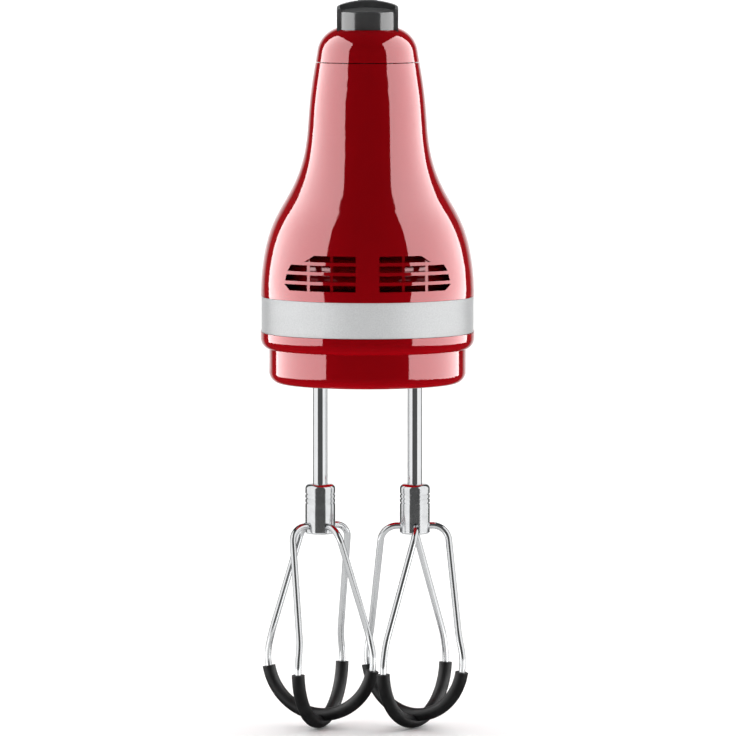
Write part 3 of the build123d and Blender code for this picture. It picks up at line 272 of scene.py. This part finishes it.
def colors(material, pattern, *stops):
    """The base colour follows pattern through stops, each (level, colour)."""
    tree = material.node_tree
    ramp = tree.nodes.new("ShaderNodeValToRGB")
    while len(ramp.color_ramp.elements) < len(stops):
        ramp.color_ramp.elements.new(0.5)
    for element, (level, color) in zip(ramp.color_ramp.elements, stops):
        element.position = level
        element.color = (*color, 1)
    tree.links.new(pattern, ramp.inputs["Fac"])
    tree.links.new(ramp.outputs["Color"], shader_of(material).inputs["Base Color"])


PATTERN_SPAN = (0.3, 0.7)     # most of a noise lies between these two levels


def shades(material, pattern, color, spread):
    """The base colour wanders by that share about color."""
    dark = [part * (1 - spread) for part in color]
    light = [min(1, part * (1 + spread)) for part in color]
    colors(material, pattern, (PATTERN_SPAN[0], dark), (PATTERN_SPAN[1], light))


def gloss(material, pattern, smooth, rough):
    """The roughness follows pattern between two values."""
    tree = material.node_tree
    level = ramp_between(tree, pattern, PATTERN_SPAN, (smooth, rough))
    tree.links.new(level, shader_of(material).inputs["Roughness"])


def relief(material, pattern, depth, strength=1.0):
    """The surface rises and falls with pattern, over that depth in metres."""
    tree = material.node_tree
    shader = shader_of(material)
    bump = tree.nodes.new("ShaderNodeBump")
    bump.inputs["Distance"].default_value = depth
    bump.inputs["Strength"].default_value = strength
    tree.links.new(pattern, bump.inputs["Height"])
    if shader.inputs["Normal"].links:
        tree.links.new(shader.inputs["Normal"].links[0].from_socket, bump.inputs["Normal"])
    tree.links.new(bump.outputs["Normal"], shader.inputs["Normal"])


RED = (0.40, 0.0004, 0.0045)
RED_GLOSS_TINT = (1.0, 0.62, 0.64, 1.0)
SATIN_SILVER = (0.76, 0.77, 0.775)
BUTTON_GREY = (0.085, 0.086, 0.0875)
CHARCOAL = (0.030, 0.030, 0.031)
SLATE = (0.105, 0.107, 0.110)
CHROME = (0.80, 0.81, 0.82)
EDGE_TINT = (0.25, 0.25, 0.26, 1.0)


def red_plastic():
    """High-gloss moulded plastic with a trace of flow in its colour and faint wipe marks."""
    material = new_finish("red_plastic", RED, 0.05, IOR=1.6, Specular_Tint=RED_GLOSS_TINT)
    shades(material, noise(material, 0.030, 3.0), RED, 0.05)
    gloss(material, noise(material, 0.012, 4.0), 0.035, 0.065)
    relief(material, noise(material, 0.004, 1.0), 0.0000015)
    return material


def silver_trim():
    """Satin metallic paint, its flakes just visible, with a fine lengthwise brushing."""
    material = new_finish("silver_trim", SATIN_SILVER, 0.42, Metallic=0.6)
    shades(material, noise(material, 0.0005, 2.0), SATIN_SILVER, 0.06)
    gloss(material, noise(material, 0.0012, 3.0, (12, 12, 1)), 0.38, 0.50)
    relief(material, noise(material, 0.0003, 2.0, (30, 30, 1)), 0.000004)
    return material


def grey_plastic():
    """Glossy charcoal-grey plastic of the eject button and the speed slider."""
    material = new_finish("grey_plastic", BUTTON_GREY, 0.12, IOR=1.5)
    shades(material, noise(material, 0.006, 3.0), BUTTON_GREY, 0.06)
    gloss(material, noise(material, 0.004, 3.0), 0.10, 0.17)
    relief(material, noise(material, 0.002, 1.0), 0.000002)
    return material


def spark_eroded(slot, color, roughness, size=0.0006, depth=0.000020):
    """Moulded plastic from a tool with an even spark-eroded texture."""
    material = new_finish(slot, color, roughness)
    shades(material, noise(material, 0.004, 3.0), color, 0.12)
    gloss(material, noise(material, 0.002, 2.0), roughness * 0.85, roughness * 1.15)
    relief(material, cells(material, size), depth)
    return material


def heel_rubber():
    """Matt rubber with a leathery pebble, darker in its hollows and paler on the ridges between them."""
    color = (0.028, 0.028, 0.029)
    material = new_finish("heel_rubber", color, 0.75, Sheen_Weight=0.15)
    pebble = cells(material, 0.0011)
    # the colour follows the bump: darker in the pebble's hollows, paler on its ridges
    colors(material, pebble, (0.0, color), (0.8, (0.05, 0.05, 0.051)))
    relief(material, pebble, 0.00006)
    return material


def silicone():
    """Soft matt silicone with the skin's fine grain and a few paler rubbed patches."""
    color = (0.012, 0.012, 0.0125)
    material = new_finish("silicone", color, 0.55, IOR=1.38, Specular_IOR_Level=0.22)
    colors(material, noise(material, 0.007, 4.0), (0.35, color), (0.8, (0.022, 0.022, 0.0225)))
    gloss(material, noise(material, 0.003, 3.0), 0.42, 0.58)
    relief(material, noise(material, 0.0007, 3.0), 0.000012)
    return material


def polished(slot, color, roughness, axis_stretch, smudge=0.05):
    """Bright plated or polished metal with hair-fine drawing lines and faint smudges, darker edge on."""
    material = new_finish(slot, color, roughness, Metallic=1.0, Specular_Tint=EDGE_TINT)
    shades(material, noise(material, 0.010, 3.0), color, 0.03)
    gloss(material, noise(material, 0.006, 4.0), roughness, roughness + smudge)
    relief(material, noise(material, 0.0003, 2.0, axis_stretch), 0.0000008)
    return material


def turned(slot, color, low, high, pitch, axis, depth, metal=1.0):
    """Machined metal with the tool's fine rings along an axis."""
    material = new_finish(slot, color, low, Metallic=metal)
    shades(material, noise(material, 0.005, 4.0), color, 0.08)
    gloss(material, noise(material, 0.003, 4.0), low, high)
    relief(material, bands(material, pitch, axis, bend=0.4), depth)
    return material


def cast_metal():
    """Die-cast zinc, with a grainy skin and darker flow marks."""
    color = (0.42, 0.43, 0.44)
    material = new_finish("cast_metal", color, 0.5, Metallic=0.9)
    colors(material, noise(material, 0.009, 5.0), (0.3, (0.30, 0.31, 0.32)), (0.7, color))
    gloss(material, noise(material, 0.004, 4.0), 0.40, 0.62)
    relief(material, noise(material, 0.0009, 5.0), 0.00004)
    return material


def bronze():
    """Sintered bronze, dotted with oil-dark pores."""
    color = (0.52, 0.33, 0.15)
    material = new_finish("bronze", color, 0.42, Metallic=1.0)
    pores = cells(material, 0.0006)
    colors(material, pores, (0.10, (0.10, 0.06, 0.03)), (0.30, color))
    relief(material, pores, 0.00002)
    return material


def gear_nylon():
    """Natural nylon, milky and slightly see-through, with moulding swirls."""
    color = (0.78, 0.74, 0.64)
    material = new_finish("gear_nylon", color, 0.38, IOR=1.53)
    shades(material, noise(material, 0.006, 5.0), color, 0.07)
    gloss(material, noise(material, 0.002, 3.0), 0.30, 0.48)
    relief(material, noise(material, 0.0012, 3.0), 0.00001)
    return material


def motor_steel():
    """Zinc-plated sheet steel with rolling lines and a cloudy passivated bloom."""
    color = (0.55, 0.56, 0.57)
    material = new_finish("motor_steel", color, 0.3, Metallic=1.0)
    colors(material, noise(material, 0.012, 5.0), (0.3, (0.46, 0.48, 0.52)), (0.7, (0.62, 0.60, 0.52)))
    gloss(material, noise(material, 0.003, 3.0), 0.24, 0.42)
    relief(material, noise(material, 0.0003, 2.0, (1, 25, 1)), 0.000004)
    return material


def ferrite():
    """Ground ceramic magnet: dark, gritty and finely speckled."""
    color = (0.060, 0.062, 0.066)
    material = new_finish("ferrite", color, 0.62)
    colors(material, cells(material, 0.0005), (0.1, (0.12, 0.12, 0.125)), (0.35, color))
    relief(material, noise(material, 0.0005, 4.0), 0.00003)
    return material


LAMINATION = 0.0005


def laminations():
    """A stack of thin sheets whose edges show as even dark lines round the core."""
    material = new_finish("laminations", (0.3, 0.3, 0.31), 0.45, Metallic=0.9)
    sheets = bands(material, LAMINATION, "Y")
    colors(material, sheets, (0.1, (0.05, 0.05, 0.055)), (0.45, (0.38, 0.38, 0.39)))
    relief(material, sheets, 0.00006)
    return material


WIRE_PITCH = 0.0006


def copper():
    """Enamelled copper, wound turn beside turn, with painted shade in the grooves between turns and a painted
    highlight along each turn's crest.
    """
    material = new_finish("copper", (0.72, 0.30, 0.12), 0.22, Metallic=1.0)
    turns = bands(material, WIRE_PITCH, "DIAGONAL", bend=0.6)
    # painted shade in the grooves and a painted highlight on the crests, following the bump
    colors(material, turns, (0.1, (0.25, 0.07, 0.02)), (0.5, (0.72, 0.30, 0.12)), (0.9, (0.88, 0.46, 0.22)))
    relief(material, turns, 0.00012)
    return material


def board_green():
    """Circuit board: green mask over copper tracks, with tinned pads."""
    material = new_finish("board_green", (0.01, 0.12, 0.04), 0.28)
    tracks = bands(material, 0.0026, "X", bend=3.0)
    colors(material, tracks, (0.55, (0.008, 0.09, 0.03)), (0.62, (0.02, 0.20, 0.06)))
    relief(material, tracks, 0.00003)
    return material


def make_finishes():
    """One finish for each material slot of the record."""
    return {
        "red_plastic": red_plastic(),
        "silver_trim": silver_trim(),
        "grey_plastic": grey_plastic(),
        "dark_plastic": spark_eroded("dark_plastic", CHARCOAL, 0.5),
        "collar_plastic": spark_eroded("collar_plastic", SLATE, 0.38, 0.0005, 0.000010),
        "heel_rubber": heel_rubber(),
        "chrome_shaft": polished("chrome_shaft", CHROME, 0.05, (20, 20, 1)),
        "wire_steel": polished("wire_steel", (0.76, 0.77, 0.78), 0.08, (1, 1, 12)),
        "hub_steel": turned("hub_steel", (0.74, 0.75, 0.76), 0.10, 0.15, 0.0005, "Z", 0.0000006),
        "silicone": silicone(),
        "cast_metal": cast_metal(),
        "bronze": bronze(),
        "spindle_steel": turned("spindle_steel", (0.60, 0.61, 0.62), 0.15, 0.25, 0.0004, "Z", 0.000005),
        "gear_nylon": gear_nylon(),
        "motor_steel": motor_steel(),
        "ferrite": ferrite(),
        "laminations": laminations(),
        "copper": copper(),
        "carbon": spark_eroded("carbon", (0.020, 0.020, 0.021), 0.32, 0.0003, 0.000008),
        "board_green": board_green(),
        "component_black": spark_eroded("component_black", (0.022, 0.022, 0.023), 0.45, 0.0004, 0.000010),
        "spring_steel": polished("spring_steel", (0.62, 0.63, 0.64), 0.2, (1, 1, 12), 0.1),
        "screw_steel": turned("screw_steel", (0.50, 0.50, 0.50), 0.28, 0.40, 0.0004, "Z", 0.000008),
    }


def paint_nodes(finishes):
    """Each CAD node comes in with a plain material named after its slot, and gets that slot's finish."""
    for obj in nodes.values():
        slot = obj.data.materials[0].name.split(".")[0]
        obj.data.materials[0] = finishes[slot]


# ---------------------------------------------------------------- pieces that only the looks need
def mesh_piece(name, points, faces, slot, body, finishes, smooth=True):
    """A new piece in its finish, riding a body."""
    mesh = bpy.data.meshes.new(name)
    mesh.from_pydata(points, [], faces)
    mesh.validate()
    piece = link(bpy.data.objects.new(name, mesh))
    mesh.materials.append(finishes[slot])
    if smooth:
        mesh.shade_smooth()
    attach(piece, body)
    return piece


BAFFLE_GAP = 0.0065
BAFFLE_THICKNESS = 0.001
BAFFLE_HALF_WIDTH = 0.0365
BAFFLE_ABOVE_BAND = (0.0025, 0.0225)
BAFFLE_STEPS = 48


def vent_baffle(finishes):
    """Curved screen a little way behind the nose's vents, which hides the works from the front."""
    low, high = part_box("motor_housing")
    band_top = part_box("trim_band")[1][2]
    half, front = high[0] - BAFFLE_GAP, low[1] + BAFFLE_GAP
    rows = [band_top + above for above in BAFFLE_ABOVE_BAND]
    points, faces = [], []
    for layer in (0, BAFFLE_THICKNESS):
        for z in rows:
            for step in range(BAFFLE_STEPS + 1):
                x = BAFFLE_HALF_WIDTH * (2 * step / BAFFLE_STEPS - 1)
                share = x / half
                points.append((x, front + layer + half * (1 - math.sqrt(1 - share * share)), z))
    width = BAFFLE_STEPS + 1
    # four strips round the section, and the two ends
    for step in range(BAFFLE_STEPS):
        ring = [0, width, 3 * width, 2 * width]
        for near, far in zip(ring, ring[1:] + ring[:1]):
            faces.append((near + step, near + step + 1, far + step + 1, far + step))
    for end in (0, BAFFLE_STEPS):
        faces.append((end, width + end, 3 * width + end, 2 * width + end))
    return mesh_piece("vent_baffle", points, faces, "red_plastic", "housing", finishes)


SPEED_STEPS = 5
SPEED_STEP = 0.004
NUMBER_HEIGHT = 0.0024
MARK_EDGE = 0.0009           # from the speed plate's edge to the middle of a mark
MARK_PROUD = 0.00004
MARK_DEPTH = 0.00004
TICK_LENGTH = 0.0013
TICK_WIDTH = 0.00035
TICK_END_STEPS = 4
PLATE_SLOPE = 0.035          # fall of the speed plate towards the heel


def number_outline(number):
    """Vertices and faces of a numeral, centred on the origin and lying flat."""
    curve = bpy.data.curves.new("numeral", "FONT")
    curve.body = str(number)
    curve.size = NUMBER_HEIGHT
    curve.align_x = "CENTER"
    curve.align_y = "CENTER"
    curve.extrude = MARK_DEPTH
    holder = bpy.data.objects.new("numeral", curve)
    mesh = bpy.data.meshes.new_from_object(holder)
    points = [tuple(vertex.co) for vertex in mesh.vertices]
    faces = [tuple(face.vertices) for face in mesh.polygons]
    bpy.data.objects.remove(holder)
    bpy.data.curves.remove(curve)
    bpy.data.meshes.remove(mesh)
    return points, faces


def tick_outline():
    """Vertices and faces of a flat bar with round ends, centred on the origin."""
    half = TICK_WIDTH / 2
    reach = TICK_LENGTH / 2 - half
    rim = []
    for end, start in ((1, -90), (-1, 90)):
        for step in range(TICK_END_STEPS + 1):
            turn = math.radians(start + 180 * step / TICK_END_STEPS)
            rim.append((end * reach + half * math.cos(turn), half * math.sin(turn)))
    count = len(rim)
    points = [(x, y, z) for z in (-MARK_DEPTH, MARK_DEPTH) for x, y in rim]
    faces = [tuple(range(count))[::-1], tuple(range(count, 2 * count))]
    faces += [(i, (i + 1) % count, count + (i + 1) % count, count + i) for i in range(count)]
    return points, faces


def speed_marks(finishes):
    """Numbers from 0 up on one side of the speed slider, and a tick for each on the other."""
    low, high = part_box("speed_plate")
    slider_low, slider_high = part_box("speed_slider")
    rest = (slider_low[1] + slider_high[1]) / 2
    for side, name in ((1, "speed_numbers"), (-1, "speed_ticks")):
        points, faces = [], []
        for number in range(SPEED_STEPS + 1):
            y = rest - number * SPEED_STEP
            z = high[2] + MARK_PROUD - PLATE_SLOPE * (y - low[1])
            mark_points, mark_faces = number_outline(number) if side > 0 else tick_outline()
            faces += [tuple(i + len(points) for i in face) for face in mark_faces]
            for px, py, pz in mark_points:
                points.append((side * (high[0] - MARK_EDGE) + px, y + py, z + pz - PLATE_SLOPE * py))
        mesh_piece(name, points, faces, "silver_trim", "housing", finishes, smooth=False)


SPRING_TURNS = 8
SPRING_END_TURNS = 1.0
SPRING_WIRE_R = 0.00045
SPRING_STEPS = 28
SPRING_SIDES = 10


def spring_rise(turn, height):
    """Height of the coil's middle line after that many turns: close-wound ends and an open middle."""
    closed = 2 * SPRING_WIRE_R
    if turn < SPRING_END_TURNS:
        return closed * turn
    if turn > SPRING_TURNS - SPRING_END_TURNS:
        return height - closed * (SPRING_TURNS - turn)
    share = (turn - SPRING_END_TURNS) / (SPRING_TURNS - 2 * SPRING_END_TURNS)
    low = closed * SPRING_END_TURNS
    return low + share * (height - 2 * low)


def eject_coil(finishes):
    """The eject button's spring, with closed ends."""
    low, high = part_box("eject_spring")
    middle = ((low[0] + high[0]) / 2, (low[1] + high[1]) / 2)
    coil_r = (high[0] - low[0]) / 2 - SPRING_WIRE_R
    height = high[2] - low[2] - 2 * SPRING_WIRE_R
    count = SPRING_TURNS * SPRING_STEPS + 1
    points, faces = [], []
    for step in range(count):
        turn = step / SPRING_STEPS
        out = (math.cos(2 * math.pi * turn), math.sin(2 * math.pi * turn))
        z = low[2] + SPRING_WIRE_R + spring_rise(turn, height)
        for side in range(SPRING_SIDES):
            around = 2 * math.pi * side / SPRING_SIDES
            reach = coil_r + SPRING_WIRE_R * math.cos(around)
            lift = SPRING_WIRE_R * math.sin(around)
            points.append((middle[0] + reach * out[0], middle[1] + reach * out[1], z + lift))
    for step in range(count - 1):
        ring = step * SPRING_SIDES
        for side in range(SPRING_SIDES):
            after = (side + 1) % SPRING_SIDES
            faces.append((ring + side, ring + after, ring + SPRING_SIDES + after, ring + SPRING_SIDES + side))
    faces.append(tuple(range(SPRING_SIDES))[::-1])
    faces.append(tuple(range((count - 1) * SPRING_SIDES, count * SPRING_SIDES)))
    piece = mesh_piece("eject_spring_coil", points, faces, "spring_steel", "housing", finishes)
    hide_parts("eject_spring")
    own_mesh(piece)


make_camera()
make_floor()
make_lights()
finishes = make_finishes()
paint_nodes(finishes)
vent_baffle(finishes)
speed_marks(finishes)
eject_coil(finishes)
